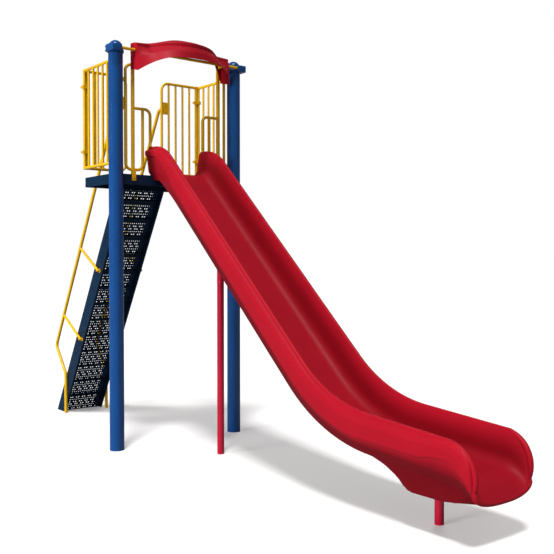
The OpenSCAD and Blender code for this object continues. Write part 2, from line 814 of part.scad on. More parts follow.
module step(k) {
    z = k * rise;
    nose_x = front_x(z) - tread_back - tread_depth;
    tab_h = 46;
    panel_z = z - rise / 2;
    panel_len = (rise - 2 * sheet_t + 2) / sin(stair_a);
    color(navy)
        difference() {
            union() {
                translate([nose_x + tread_depth / 2, 0, z - sheet_t])
                    linear_extrude(sheet_t)
                        difference() {
                            square([tread_depth, 2 * step_half_w], center = true);
                            for (x = [-2.2, -1.2, -0.2, 2.2])
                                translate([x * hole_pitch, 0])
                                    rotate(90) hole_grid(tread_holes_y, 1, hole_pitch);
                        }
                // rounded-over nosing
                translate([nose_x, -step_half_w, z - 28]) cube([sheet_t, 2 * step_half_w, 28]);
                // perforated back panel below the tread, parallel to the stringers
                translate([front_x(panel_z) - panel_back, 0, panel_z])
                    rotate([0, 90 - stair_a, 0])
                        rotate([90, 0, 90])
                            linear_extrude(sheet_t)
                                difference() {
                                    square([2 * step_half_w, panel_len], center = true);
                                    panel_holes();
                                }
                for (s = [-1, 1])
                    translate([nose_x + 20, s * (step_half_w - sheet_t / 2) - sheet_t / 2, z - tab_h])
                        cube([tread_depth - 40, sheet_t, tab_h]);
            }
            both_holes([left_step_bolts[2 * (k - 1)], left_step_bolts[2 * (k - 1) + 1]]);
            if (k == rises)
                translate([-deck_depth - 1, -300, deck_h - 200]) cube([300, 600, 300]);
        }
}

// Studs set in the stringers, with their heads inside the steps.
left_step_bolts = [for (k = [1 : rises], dx = [42, 82])
    [[front_x(k * rise) - tread_back - tread_depth + dx, step_half_w - sheet_t, k * rise - 27],
     [0, -1, 0], 13]];

// ---------- handrails ----------

handrail_y = 242.4;
handrail_a = 60;
grip_ref = [-1549, 1802];
function grip_z(x) = grip_ref[1] + (x - grip_ref[0]) * tan(handrail_a);
function grip_x(z) = grip_ref[0] + (z - grip_ref[1]) / tan(handrail_a);
rail_end_z = 3190;
rail_foot_x = -1932;
bracket_len = 483;
bracket_dir = [sin(handrail_a), -cos(handrail_a)];
bracket_tops = [grip_ref, [grip_x(1072), 1072]];
bracket_ends = [for (t = bracket_tops) t + bracket_dir * bracket_len];
grip_line = [[rail_foot_x, 0], [rail_foot_x, 430], [grip_x(723), 723],
             [grip_x(rail_end_z), rail_end_z], [rear_x - 6, rail_end_z]];

left_handrail_bolts = concat(
    [for (z = [-32, 32]) [[rear_x - 10, handrail_y, rail_end_z + z], [-1, 0, 0], 16]]);
left_handrail_side_bolts = concat(
    [for (e = bracket_ends)
        let (p = e - 16 * bracket_dir)
        [[p[0], handrail_y + frame_d / 2, p[1]], [0, 1, 0], 40]],
    [[[rail_foot_x, handrail_y + rail_d / 2, 300], [0, 1, 0], 44]]);

module handrail() {
    color(yellow)
        difference() {
            union() {
                in_xz(handrail_y) {
                    bent_rod(grip_line, 60, rail_d);
                    for (i = [0, 1]) bent_rod([bracket_tops[i], bracket_ends[i]], 1, frame_d);
                }
                // flat pads on the free ends of the brackets, against the stringer
                for (e = bracket_ends)
                    translate([e[0], stair_half_w + 1, e[1]])
                        rotate([0, 90 - handrail_a, 0])
                            translate([-34, 0, -frame_d / 2]) cube([46, 7, frame_d]);
                // end plate against the guardrail plate
                translate([rear_x - 9, handrail_y - 30, rail_end_z - 50]) cube([6, 60, 100]);
            }
            in_xz(handrail_y) {
                bent_bore(grip_line, 60, rail_d);
                for (i = [0, 1]) bent_bore([bracket_tops[i], bracket_ends[i]], 1, frame_d);
            }
            bolt_holes(left_handrail_bolts);
            bolt_holes(left_handrail_side_bolts);
        }
}

// ---------- fasteners ----------

module fasteners(list) {
    color(zinc) {
        bolts(list);
        right_of() bolts(list);
    }
}

// ---------- output ----------

// Moves the posts away from the origin so that the whole part is centred on it.
module placed() { translate([-centre_x, 0, 0]) children(); }

placed() right_of() post();  // right_post
placed() post();  // left_post
placed() right_of() post_cap();  // right_post_cap
placed() post_cap();  // left_post_cap
placed() right_of() post_collar();  // right_post_collar
placed() post_collar();  // left_post_collar
placed() hood_bar();
placed() hood();
placed() hood_brackets();
placed() right_of() enclosure();  // right_enclosure
placed() enclosure();  // left_enclosure
placed() deck();
placed() deck_hangers();
placed() right_of() side_guardrail();  // right_side_guardrail
placed() side_guardrail();  // left_side_guardrail
placed() right_of() rear_guardrail();  // right_rear_guardrail
placed() rear_guardrail();  // left_rear_guardrail
placed() corner_clamps();
placed() chute();
placed() mid_support();
placed() mid_support_saddle();
placed() exit_support();
placed() right_of() stringer();  // right_stringer
placed() stringer();  // left_stringer
for (k = [1 : rises])
    placed() step(k);
placed() right_of() handrail();  // right_handrail
placed() handrail();  // left_handrail
placed() fasteners(left_collar_bolts);  // collar_bolts
placed() fasteners(left_hanger_bolts);  // hanger_bolts
placed() color(zinc) bolts(hood_bolt_list);  // hood_bolts
placed() fasteners(left_enclosure_bolts);  // enclosure_bolts
placed() color(zinc) bolts(chute_bolt_list);  // chute_bolts
placed() color(zinc) bolts(saddle_bolt_list);  // saddle_bolts
placed() fasteners(left_post_rail_bolts);  // guardrail_bolts
placed() fasteners(left_clamp_bolts);  // clamp_bolts
placed() fasteners(left_step_bolts);  // step_bolts
placed() fasteners(concat(left_handrail_bolts, left_handrail_side_bolts));  // handrail_bolts
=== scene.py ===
import json
import math

import bmesh
import bpy
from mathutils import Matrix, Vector

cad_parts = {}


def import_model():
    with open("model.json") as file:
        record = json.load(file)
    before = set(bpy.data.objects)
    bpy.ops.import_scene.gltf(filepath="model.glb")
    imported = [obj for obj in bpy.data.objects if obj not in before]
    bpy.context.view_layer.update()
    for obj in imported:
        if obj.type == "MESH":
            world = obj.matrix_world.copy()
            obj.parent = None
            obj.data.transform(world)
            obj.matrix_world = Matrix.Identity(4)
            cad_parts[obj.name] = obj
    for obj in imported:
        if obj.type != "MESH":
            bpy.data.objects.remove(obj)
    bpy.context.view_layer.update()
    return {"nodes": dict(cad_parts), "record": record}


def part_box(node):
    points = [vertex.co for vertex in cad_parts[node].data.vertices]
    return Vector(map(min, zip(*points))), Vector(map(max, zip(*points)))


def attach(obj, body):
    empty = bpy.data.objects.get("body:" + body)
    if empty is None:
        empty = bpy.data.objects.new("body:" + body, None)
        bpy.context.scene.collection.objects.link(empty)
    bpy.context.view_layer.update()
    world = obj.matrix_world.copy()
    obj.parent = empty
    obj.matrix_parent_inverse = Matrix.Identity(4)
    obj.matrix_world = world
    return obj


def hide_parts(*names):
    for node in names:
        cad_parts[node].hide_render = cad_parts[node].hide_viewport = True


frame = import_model()

nodes = frame["nodes"]
POST_LO, POST_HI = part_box("right_post")
POST_X = (POST_LO.x + POST_HI.x) / 2
POST_Y = -(POST_LO.y + POST_HI.y) / 2
DECK_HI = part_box("deck")[1]
CHUTE_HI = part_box("chute")[1]
HOOD_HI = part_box("hood")[1]


# ---------- materials ----------

# noise scales, per metre of the piece
CLOUD_SCALE, HAZE_SCALE, PEEL_SCALE = 3.5, 14.0, 420.0
PATCH_SCALE, SCRATCH_SCALE = 90.0, 900.0
# bump depths, in metres
PEEL_DEPTH, SCRATCH_DEPTH = 0.0006, 0.0003
COAT_ROUGH = 0.12
ZINC_DARK, ZINC_LIGHT = (0.42, 0.43, 0.45), (0.66, 0.67, 0.69)
ZINC_ROUGH = (0.28, 0.50)


def new_material(name):
    """Empty material with one Principled shader."""
    mat = bpy.data.materials.new(name)
    mat.use_nodes = True
    tree = mat.node_tree
    tree.nodes.clear()
    out = tree.nodes.new("ShaderNodeOutputMaterial")
    shader = tree.nodes.new("ShaderNodeBsdfPrincipled")
    tree.links.new(shader.outputs["BSDF"], out.inputs["Surface"])
    return mat, tree, shader


def noise(tree, scale, detail):
    """Noise fixed to the object, as a value from 0 to 1."""
    coord = tree.nodes.new("ShaderNodeTexCoord")
    tex = tree.nodes.new("ShaderNodeTexNoise")
    tex.inputs["Scale"].default_value = scale
    tex.inputs["Detail"].default_value = detail
    tex.inputs["Roughness"].default_value = 0.55
    tree.links.new(coord.outputs["Object"], tex.inputs["Vector"])
    return tex.outputs["Fac"]


def ramp(tree, socket, *stops):
    """Colour that runs between two (place, colour) stops."""
    node = tree.nodes.new("ShaderNodeValToRGB")
    for element, (place, colour) in zip(node.color_ramp.elements, stops):
        element.position = place
        element.color = (*colour, 1.0)
    tree.links.new(socket, node.inputs["Fac"])
    return node.outputs["Color"]


def value_range(tree, socket, low, high):
    """The 0 to 1 value of socket, spread from low to high."""
    node = tree.nodes.new("ShaderNodeMapRange")
    node.inputs["To Min"].default_value = low
    node.inputs["To Max"].default_value = high
    tree.links.new(socket, node.inputs["Value"])
    return node.outputs["Result"]


def scaled(tree, colour, factor):
    """Colour socket times value socket."""
    node = tree.nodes.new("ShaderNodeVectorMath")
    node.operation = "SCALE"
    tree.links.new(colour, node.inputs[0])
    tree.links.new(factor, node.inputs["Scale"])
    return node.outputs["Vector"]


def bump(tree, shader, socket, strength, depth):
    node = tree.nodes.new("ShaderNodeBump")
    node.inputs["Strength"].default_value = strength
    node.inputs["Distance"].default_value = depth
    tree.links.new(socket, node.inputs["Height"])
    tree.links.new(node.outputs["Normal"], shader.inputs["Normal"])


def shade(colour, k):
    return tuple(min(1.0, c * k) for c in colour)


def coated(name, colour, rough=(0.25, 0.36), coat=0.2, peel=0.12, spread=0.10, specular=0.4,
           under=1.0):
    """Powder-coated or moulded surface: faint cloudiness, orange-peel bump and uneven gloss.

    under is the tone, against the rest, where a piece's own "under" value is one: painted shade that darkens
    the piece's underside."""
    mat, tree, shader = new_material(name)
    tone = ramp(tree, noise(tree, CLOUD_SCALE, 5.0),
                (0.25, shade(colour, 1 - spread)), (0.75, shade(colour, 1 + spread)))
    # painted shade: the "under" attribute darkens the colour towards the under tone
    below = tree.nodes.new("ShaderNodeAttribute")
    below.attribute_name = "under"
    dim = value_range(tree, below.outputs["Fac"], 1.0, under)
    tree.links.new(scaled(tree, tone, dim), shader.inputs["Base Color"])
    gloss = value_range(tree, noise(tree, HAZE_SCALE, 3.0), *rough)
    tree.links.new(gloss, shader.inputs["Roughness"])
    shader.inputs["Coat Weight"].default_value = coat
    shader.inputs["Coat Roughness"].default_value = COAT_ROUGH
    shader.inputs["Specular IOR Level"].default_value = specular
    bump(tree, shader, noise(tree, PEEL_SCALE, 2.0), peel, PEEL_DEPTH)
    return mat


def zinc(name):
    """Zinc plate: patchy grey metal with fine scratches."""
    mat, tree, shader = new_material(name)
    patches = noise(tree, PATCH_SCALE, 5.0)
    tree.links.new(ramp(tree, patches, (0.3, ZINC_DARK), (0.7, ZINC_LIGHT)), shader.inputs["Base Color"])
    shader.inputs["Metallic"].default_value = 1.0
    tree.links.new(value_range(tree, patches, *ZINC_ROUGH), shader.inputs["Roughness"])
    bump(tree, shader, noise(tree, SCRATCH_SCALE, 2.0), 0.1, SCRATCH_DEPTH)
    return mat


BLUE = coated("blue_powder_coat", (0.0030, 0.064, 0.250))
NAVY = coated("navy_plastisol", (0.0025, 0.020, 0.052), rough=(0.40, 0.52), coat=0.0, peel=0.35,
              spread=0.2, specular=0.18)
YELLOW = coated("yellow_powder_coat", (0.840, 0.490, 0.006), coat=0.1, specular=0.3)
# painted shade: the red drops to 0.42 of itself where the "under" value is one
RED_PLASTIC = coated("red_moulded_plastic", (0.390, 0.0065, 0.018), rough=(0.44, 0.54), coat=0.0,
                     peel=0.2, spread=0.06, specular=0.12, under=0.42)
RED_STEEL = coated("red_powder_coat", (0.500, 0.0060, 0.036))
ZINC = zinc("zinc_plate")
FINISH = {"blue_steel": BLUE, "yellow_steel": YELLOW, "navy_coated_steel": NAVY,
          "red_plastic": RED_PLASTIC, "red_steel": RED_STEEL, "zinc_fasteners": ZINC}
slot_of = {entry["node"]: entry["material_slot"] for entry in frame["record"]["subparts"]}
for name, obj in nodes.items():
    obj.data.materials.clear()
    obj.data.materials.append(FINISH[slot_of[name]])


# ---------- sums and mesh helpers ----------

def smooth(t):
    """Eased step from 0 at t = 0 to 1 at t = 1."""
    t = min(1.0, max(0.0, t))
    return t * t * (3 - 2 * t)


def mix(a, b, t):
    return a + (b - a) * t


def mix_points(p, q, t):
    return tuple(mix(a, b, t) for a, b in zip(p, q))


def table(x, rows):
    """Straight-line lookup in (x, value) rows."""
    if x <= rows[0][0]:
        return rows[0][1]
    for (x0, v0), (x1, v1) in zip(rows, rows[1:]):
        if x <= x1:
            return mix(v0, v1, (x - x0) / (x1 - x0))
    return rows[-1][1]


def run_lengths(chain):
    """Distance along the chain to each of its points."""
    run = [0.0]
    for a, b in zip(chain, chain[1:]):
        run.append(run[-1] + math.dist(a, b))
    return run


def shares(chain):
    """Share of the chain's length that lies before each of its points."""
    run = run_lengths(chain)
    return [r / run[-1] for r in run]


def resample(chain, count):
    """The same chain with count evenly spaced points."""
    run = run_lengths(chain)
    out = []
    for k in range(count):
        want = run[-1] * k / (count - 1)
        i = next(i for i in range(1, len(run)) if run[i] >= want - 1e-12)
        share = (want - run[i - 1]) / (run[i] - run[i - 1])
        out.append(mix_points(chain[i - 1], chain[i], share))
    return out


def unit(v):
    size = math.hypot(*v)
    return tuple(c / size for c in v)


def rounded_chain(corners, steps=6):
    """Points along an open chain of (a, b, radius) corners, each corner rounded by its radius."""
    out = []
    for i, (a, b, radius) in enumerate(corners):
        if i in (0, len(corners) - 1) or radius == 0:
            out.append((a, b))
            continue
        u = unit((corners[i - 1][0] - a, corners[i - 1][1] - b))
        v = unit((corners[i + 1][0] - a, corners[i + 1][1] - b))
        half = math.acos(max(-1.0, min(1.0, u[0] * v[0] + u[1] * v[1]))) / 2
        cut = radius / math.tan(half)
        mid = unit((u[0] + v[0], u[1] + v[1]))
        centre = (a + mid[0] * radius / math.sin(half), b + mid[1] * radius / math.sin(half))
        start = (a + u[0] * cut - centre[0], b + u[1] * cut - centre[1])
        end = (a + v[0] * cut - centre[0], b + v[1] * cut - centre[1])
        turn = math.atan2(start[0] * end[1] - start[1] * end[0], start[0] * end[0] + start[1] * end[1])
        for k in range(steps + 1):
            t = turn * k / steps
            out.append((centre[0] + start[0] * math.cos(t) - start[1] * math.sin(t),
                        centre[1] + start[0] * math.sin(t) + start[1] * math.cos(t)))
    return out


def make_piece(name, replaced, verts, faces, material, smooth_angle=40):
    """New piece in the given material that takes the place of the CAD node named replaced, which is hidden.
    """
    mesh = bpy.data.meshes.new(name)
    mesh.from_pydata(verts, [], faces)
    bm = bmesh.new()
    bm.from_mesh(mesh)
    bmesh.ops.remove_doubles(bm, verts=bm.verts, dist=1e-6)
    bmesh.ops.recalc_face_normals(bm, faces=bm.faces)
    bm.to_mesh(mesh)
    bm.free()
    mesh.shade_smooth()
    mesh.set_sharp_from_angle(angle=math.radians(smooth_angle))
    obj = bpy.data.objects.new(name, mesh)
    bpy.context.scene.collection.objects.link(obj)
    mesh.materials.append(material)
    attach(obj, "root")
    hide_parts(replaced)
    return obj


def zip_strip(a, b):
    """Triangles between two rows of vertex numbers that run side by side and share both ends."""
    faces, i, j = [], 0, 0
    last_a, last_b = len(a) - 1, len(b) - 1
    while i < last_a or j < last_b:
        if j == last_b or (i < last_a and (i + 1) / last_a <= (j + 1) / last_b):
            faces.append((a[i], a[i + 1], b[j]))
            i += 1
        else:
            faces.append((a[i], b[j + 1], b[j]))
            j += 1
    return [face for face in faces if len(set(face)) == 3]


def skin_rings(rings, split=None):
    """Closed surface over equal rings, capped at both ends.

    With split, the last cap is a strip between the ring's first split points, mirrored, and the rest."""
    n = len(rings[0])
    verts = [p for ring in rings for p in ring]
    faces = []
    for i in range(len(rings) - 1):
        for j in range(n):
            k = (j + 1) % n
            faces.append((i * n + j, i * n + k, (i + 1) * n + k, (i + 1) * n + j))
    faces.append(tuple(range(n - 1, -1, -1)))
    last = [(len(rings) - 1) * n + j for j in range(n)]
    if split is None:
        faces.append(tuple(last))
    else:
        inside = last[-split + 1:] + last[:split]
        outside = last[split - 1:-split + 2][::-1]
        faces += zip_strip(inside, outside)
    return verts, faces


# ---------- chute ----------

# All x here count from the posts. The bed runs level over the deck's edge, down the slope between two
# knees and out along the exit to the nose, which starts at NOSE_X and ends at TIP_X.
TIP_X = CHUTE_HI.x - POST_X
NOSE_X = TIP_X - 0.192
DECK_FACE = DECK_HI.x - POST_X
ENTRY_X = -0.045
ENTRY_Z = DECK_HI.z + 0.023
ENTRY_STATIONS = (ENTRY_X, -0.043, -0.039, -0.033, -0.025, -0.015, -0.003, 0.003, 0.012, 0.022, 0.031)
SLOPE, EXIT = math.radians(42.3), math.radians(4.5)
TOP_R, LOW_R = 0.220, 1.320
TOP_KNEE_X, LOW_KNEE_X = 0.125, 2.296
TOP_KNEE = (TOP_KNEE_X, ENTRY_Z)
LOW_KNEE = (LOW_KNEE_X, ENTRY_Z - (LOW_KNEE_X - TOP_KNEE_X) * math.tan(SLOPE))
TOP_STEPS, SLOPE_STEPS, LOW_STEPS, EXIT_STEPS, NOSE_STEPS = 16, 30, 30, 18, 36

# the section: y from the middle, h above the bed
INNER_POINTS = 26
BED_HALF, BED_CORNER_R = 0.2347, 0.075
CREST_Y, WALL_H = 0.2645, 0.230
HULL_Y, HULL_DEPTH = 0.2620, 0.040
FOOT_Y = 0.2500
FOOT_LEAST = 0.003
SKIRT_TOP = 0.2035

# rows of (x, height of the skirt's lower edge above the bed), and of
# (x, height of the foot's underside above the ground)
SKIRT_LINE = [(-0.045, 0.160), (0.06, 0.150), (0.35, 0.090), (0.60, 0.075), (2.60, 0.062),
              (3.20, 0.080), (3.40, 0.120)]
FOOT_LINE = [(2.700, 0.4170), (2.742, 0.4130), (2.880, 0.3710), (2.990, 0.3170), (3.050, 0.2680),
             (3.098, 0.2425), (3.350, 0.2425), (3.430, 0.2530), (3.520, 0.2820), (3.587, 0.3140)]

# the nose: the bed turns down round LIP_R while the crest runs round NOSE_CREST_R to meet it in the lip
LIP_R, LIP_TURN = 0.225, math.radians(57.5)
NOSE_CREST_R = 0.200
LIP_HALF, LIP_FLARE = 0.252, 0.027
LIP_ROUND, LIP_THICK = 0.011, 0.017
LIP_TIP = (TIP_X - LIP_ROUND, 0.270)
# powers that set how fast the lip's edges widen and rise from the middle to the sides
LIP_WIDEN, LIP_RISE = 0.9, 1.15

# the rolled bead along the crests and the lip
RIM_Y, RIM_R = 0.2780, 0.0145
RIM_FROM_X = 0.02
RIM_BELOW_CREST = 0.0105
LIP_RIM_R = 0.0185
RIM_NOSE_STEPS, RIM_LIP_STEPS = 24, 16


def exit_z(x):
    """Height of the bed's exit stretch."""
    return LOW_KNEE[1] - (x - LOW_KNEE[0]) * math.tan(EXIT)


def bed_line():
    """Stations along the sliding surface up to the nose: place and upward normal in side view."""
    cut_1 = TOP_R * math.tan(SLOPE / 2)
    cut_2 = LOW_R * math.tan((SLOPE - EXIT) / 2)
    down = (math.cos(SLOPE), -math.sin(SLOPE))
    out = (math.cos(EXIT), -math.sin(EXIT))
    x_turn = TOP_KNEE[0] - cut_1
    rows = [((x, ENTRY_Z), (0.0, 1.0)) for x in (*ENTRY_STATIONS, x_turn)]
    centre = (x_turn, ENTRY_Z - TOP_R)
    for k in range(1, TOP_STEPS + 1):
        a = SLOPE * k / TOP_STEPS
        n = (math.sin(a), math.cos(a))
        rows.append(((centre[0] + TOP_R * n[0], centre[1] + TOP_R * n[1]), n))
    start = (TOP_KNEE[0] + down[0] * cut_1, TOP_KNEE[1] + down[1] * cut_1)
    end = (LOW_KNEE[0] - down[0] * cut_2, LOW_KNEE[1] - down[1] * cut_2)
    for k in range(1, SLOPE_STEPS + 1):
        rows.append((mix_points(start, end, k / SLOPE_STEPS), (math.sin(SLOPE), math.cos(SLOPE))))
    centre = (end[0] + LOW_R * math.sin(SLOPE), end[1] + LOW_R * math.cos(SLOPE))
    for k in range(1, LOW_STEPS + 1):
        a = SLOPE + (EXIT - SLOPE) * k / LOW_STEPS
        n = (math.sin(a), math.cos(a))
        rows.append(((centre[0] - LOW_R * n[0], centre[1] - LOW_R * n[1]), n))
    start = rows[-1][0]
    length = (NOSE_X - start[0]) / math.cos(EXIT)
    for k in range(1, EXIT_STEPS + 1):
        t = length * k / EXIT_STEPS
        rows.append(((start[0] + out[0] * t, start[1] + out[1] * t), (math.sin(EXIT), math.cos(EXIT))))
    return rows


def inner_half():
    """Bed and wall from the middle to the top of the crest, as (y, h)."""
    chain = rounded_chain([(0.0, 0.0, 0), (BED_HALF, 0.0, BED_CORNER_R), (CREST_Y, WALL_H, 0)], 10)
    return resample(chain, INNER_POINTS)


def outer_half(skirt, plain, hull, foot):
    """Rim, outer face and underside from the crest to the middle, as (y, h).

    skirt is the height of the skirt's lower edge, plain fades the groove and the skirt out,
    hull and foot are the depths of the hull and of the box below it."""
    low = -max(foot, hull + FOOT_LEAST)
    # from the crest over the rim, into the groove, down the skirt, back to the hull and under it
    corners = [
        (CREST_Y, WALL_H, 0),
        (0.2700, WALL_H + 0.0050, 0.006),
        (0.2860, mix(0.2310, 0.2330, plain), 0.009),
        (mix(0.2935, 0.2990, plain), mix(0.2085, 0.2200, plain), 0.008),
        (mix(0.3110, 0.3070, plain), mix(SKIRT_TOP, 0.2000, plain), 0.008),
        (mix(0.3195, 0.3090, plain), mix(skirt + 0.7 * (SKIRT_TOP - skirt), 0.1650, plain), 0.020),
        (mix(0.3180, 0.3080, plain), mix(skirt, 0.1200, plain), 0.006),
        (mix(0.3000, 0.3060, plain), mix(skirt - 0.010, 0.0800, plain), 0.005),
        (mix(0.2830, 0.2880, plain), 0.012, 0.020),
        (HULL_Y, -hull, 0.012),
        (HULL_Y - 0.006, -hull - 0.0012, 0.0),
        (FOOT_Y, low, 0.004),
        (0.1300, low, 0.0),
        (0.0, low, 0)]
    return rounded_chain(corners, 4)


def depths(x, bed, normal):
    """Skirt height, fade, hull depth and foot depth of the section whose bed point is given."""
    skirt = table(x, SKIRT_LINE)
    plain = 0.7 * smooth((x - 3.22) / 0.22)
    if x < DECK_FACE:
        hull = bed[1] - (DECK_HI.z + 0.004)
    else:
        hull = HULL_DEPTH + 0.024 * (1 - smooth((x - 0.10) / 0.32))
    foot = 0.0
    if x > FOOT_LINE[0][0]:
        reach = bed[0] - normal[0] * 0.12
        foot = (bed[1] - table(reach, FOOT_LINE)) / normal[1]
    return skirt, plain, hull, foot


def nose_bed(t):
    """Bed point and normal in side view at share t of the way round the nose."""
    a = math.pi / 2 - EXIT - LIP_TURN * t
    centre = (NOSE_X - LIP_R * math.sin(EXIT), exit_z(NOSE_X) - LIP_R * math.cos(EXIT))
    n = (math.cos(a), math.sin(a))
    return (centre[0] + LIP_R * n[0], centre[1] + LIP_R * n[1]), n


def nose_crest(t):
    """Side view of the crest at share t of the way round the nose."""
    turn = math.radians(mix(80.0, -23.0, t))
    centre = (NOSE_X - 0.028, exit_z(NOSE_X) + 0.033)
    return (centre[0] + NOSE_CREST_R * math.cos(turn), centre[1] + NOSE_CREST_R * math.sin(turn))


def lip_inner(share):
    """Upper edge of the lip from its middle to the crest."""
    turn = math.pi / 2 * share
    return (LIP_TIP[0] - 0.012 * share ** 2, LIP_HALF * math.sin(turn) ** LIP_WIDEN,
            LIP_TIP[1] + 0.072 * (1 - math.cos(turn)) ** LIP_RISE)


def lip_outer(share):
    """Lower edge of the lip from the crest to its middle."""
    turn = math.pi / 2 * (1 - share)
    return (LIP_TIP[0] - 0.030 + 0.008 * (1 - share) ** 2,
            (LIP_HALF + LIP_FLARE) * math.sin(turn) ** LIP_WIDEN,
            LIP_TIP[1] - LIP_THICK + 0.080 * (1 - math.cos(turn)) ** LIP_RISE)


def nose_half(t, inner, outer):
    """Right half of the ring at share t of the way round the nose, as (x, y, z)."""
    bed, n = nose_bed(t)
    crest = nose_crest(t)
    blend = smooth((t - 0.50) / 0.50)

    def at(y, h):
        if h < 0:
            return (bed[0] + n[0] * h, y, bed[1] + n[1] * h)
        k = h / WALL_H
        return (mix(bed[0], crest[0], k), y, mix(bed[1], crest[1], k))

    ring = [mix_points(at(y, h), lip_inner(s), blend) for (y, h), s in zip(inner, shares(inner))]
    ring += [mix_points(at(y, h), lip_outer(s), blend) for (y, h), s in zip(outer[1:], shares(outer)[1:])]
    return ring


def close_half(half):
    """Whole ring from its right half: the middle points at both ends are shared."""
    return half + [(x, -y, z) for x, y, z in half[-2:0:-1]]


def chute_half(bed, n, inner, outer, lean):
    """Right half of a ring along the bed; lean rounds the top of the walls off, away from the entrance."""
    round_h, round_r = 0.04, 0.046
    pts = []
    for y, h in inner + outer[1:]:
        back = 0.0
        if lean and h > WALL_H - round_h:
            rise = min(round_h, h - (WALL_H - round_h))
            back = lean * (1 - math.sqrt(max(0.0, 1 - (rise / round_r) ** 2)))
        pts.append((bed[0] + n[0] * h + back, y, bed[1] + n[1] * h))
    return pts


def lip_rounding(end, inner_n):
    """Half rings that round the lip off beyond end, whose first inner_n points are the upper edge."""
    outer_n = len(end) - inner_n
    halves = []
    for k in (1, 2, 3):
        turn = math.pi / 2 * k / 3.6
        push, shrink = LIP_ROUND * math.sin(turn), (1 - math.cos(turn)) / 2
        ring = []
        for i, q in enumerate(end):
            share = i / (inner_n - 1) if i < inner_n else 1 - (i - inner_n + 1) / outer_n
            other = lip_outer(1 - share) if i < inner_n else lip_inner(share)
            q = mix_points(q, other, shrink)
            ring.append((q[0] + push * mix(0.55, 0.95, share), q[1], q[2] - push * mix(0.84, 0.30, share)))
        halves.append(ring)
    return halves


def build_chute():
    """Trough, hull, skirt and lip in one closed surface."""
    inner = inner_half()
    halves = []
    rows = bed_line()
    for bed, n in rows:
        outer = outer_half(*depths(bed[0], bed, n))
        near_end = max(0.0, 1 - (bed[0] - ENTRY_X) / 0.06)
        halves.append(chute_half(bed, n, inner, outer, 0.045 * near_end))
    skirt, plain, hull, foot = depths(NOSE_X, *rows[-1])
    for k in range(1, NOSE_STEPS + 1):
        t = k / NOSE_STEPS
        nose_plain = mix(plain, 1.0, smooth(t / 0.45))
        outer = outer_half(skirt, nose_plain, hull, mix(foot, hull + FOOT_LEAST, t * t))
        halves.append(nose_half(t, inner, outer))
    halves += lip_rounding(halves[-1], len(inner))
    rings = [[(POST_X + x, y, z) for x, y, z in close_half(half)] for half in halves]
    verts, faces = skin_rings(rings, split=len(inner))
    obj = make_piece("chute_shell", "chute", verts, faces, RED_PLASTIC)
    # painted shade on the hull and foot
    paint_shade_under(obj, rings, inner)


def paint_shade_under(obj, rings, inner):
    """Painted shade as the piece's "under" value: none on the bed and walls, growing down the skirt to full
    on the hull, weaker near the entrance.
    """
    outer = outer_half(0.075, 0.0, HULL_DEPTH, 0.10)
    # share of painted shade at each point of the section
    low = [0.0] * len(inner) + [smooth((0.070 - h) / 0.060) for _, h in outer[1:]]
    low += low[-2:0:-1]
    shade_weights = [mix(0.35, 1.0, smooth((ring[0][0] - POST_X - 0.10) / 0.50)) for ring in rings]
    values = obj.data.attributes.new("under", "FLOAT", "POINT")
    values.data.foreach_set("value", [w * v for w in shade_weights for v in low])


def tube(path, radii, sides=16):
    """Rings of a round tube along a path of points, turned as little as possible from one to the next."""
    rings = []
    side = None
    for k, (place, r) in enumerate(zip(path, radii)):
        along = (Vector(path[min(k + 1, len(path) - 1)]) - Vector(path[max(k - 1, 0)])).normalized()
        side = along.cross(Vector((0, 1, 0))) if side is None else side - along * side.dot(along)
        side.normalize()
        other = along.cross(side)
        ring = []
        for j in range(sides):
            a = 2 * math.pi * j / sides
            ring.append(tuple(Vector(place) + side * (r * math.cos(a)) + other * (r * math.sin(a))))
        rings.append(ring)
    return rings


def build_rim():
    """Rolled bead that runs down both crests and round the lip."""
    h = WALL_H - RIM_BELOW_CREST
    path, radii = [], []
    for bed, n in bed_line():
        if bed[0] > RIM_FROM_X:
            path.append((bed[0] + n[0] * h, RIM_Y, bed[1] + n[1] * h))
            radii.append(RIM_R * smooth(0.35 + (bed[0] - RIM_FROM_X) / 0.15))
    for k in range(1, RIM_NOSE_STEPS + 1):
        t = k / RIM_NOSE_STEPS
        x, z = nose_crest(t)
        y = mix(RIM_Y, LIP_HALF + 0.0135, smooth(t))
        path.append((x - 0.011 + 0.012 * smooth(t), y, z - 0.009 * (1 - t)))
        radii.append(mix(RIM_R, LIP_RIM_R, smooth(t / 0.4)))
    for k in range(RIM_LIP_STEPS - 1, -1, -1):
        share = k / RIM_LIP_STEPS
        path.append(mix_points(lip_inner(share), lip_outer(1 - share), 0.5))
        radii.append(LIP_RIM_R)
    path += [(x, -y, z) for x, y, z in path[-2::-1]]
    radii += radii[-2::-1]
    path = [(POST_X + x, y, z) for x, y, z in path]
    verts, faces = skin_rings(tube(path, radii))
    make_piece("chute_rim", "chute", verts, faces, RED_PLASTIC)


build_chute()
build_rim()


# ---------- hood ----------

HOOD_HALF = HOOD_HI.y
SKIN = 0.005
HOOD_BACK = 0.0025
HOOD_SPANS = 72
# lateral places of the end face, of the step that rounds it and of the inner skin's end
HOOD_END = (HOOD_HALF, HOOD_HALF - 0.0015, HOOD_HALF - SKIN)
REAR_CORNER_Z, REAR_ARCH, REAR_ARCH_W = 3.367, 0.215, 0.130
REAR_TOP_Z, CROWN_REAR_Z, CROWN_FRONT_Z, GROOVE_Z, LIP_Z = 3.590, 3.588, 3.578, 3.546, 3.334


def hood_shape(y):
    """Forward bulge, height of the crown and raised ridge at lateral place y."""
    a = min(1.0, abs(y) / HOOD_HALF)
    return 1 - a ** 3.2, 1 / (1 + (abs(y) / 0.27) ** 4), max(0.0, 1 - (y / 0.36) ** 2)


def rear_low(y):
    """Height of the rear skin's lower edge, which arches up from both ends."""
    t = min(1.0, max(0.0, (HOOD_HALF - SKIN - abs(y)) / REAR_ARCH_W))
    return REAR_CORNER_Z + REAR_ARCH * (1 - (1 - t) ** 1.8)


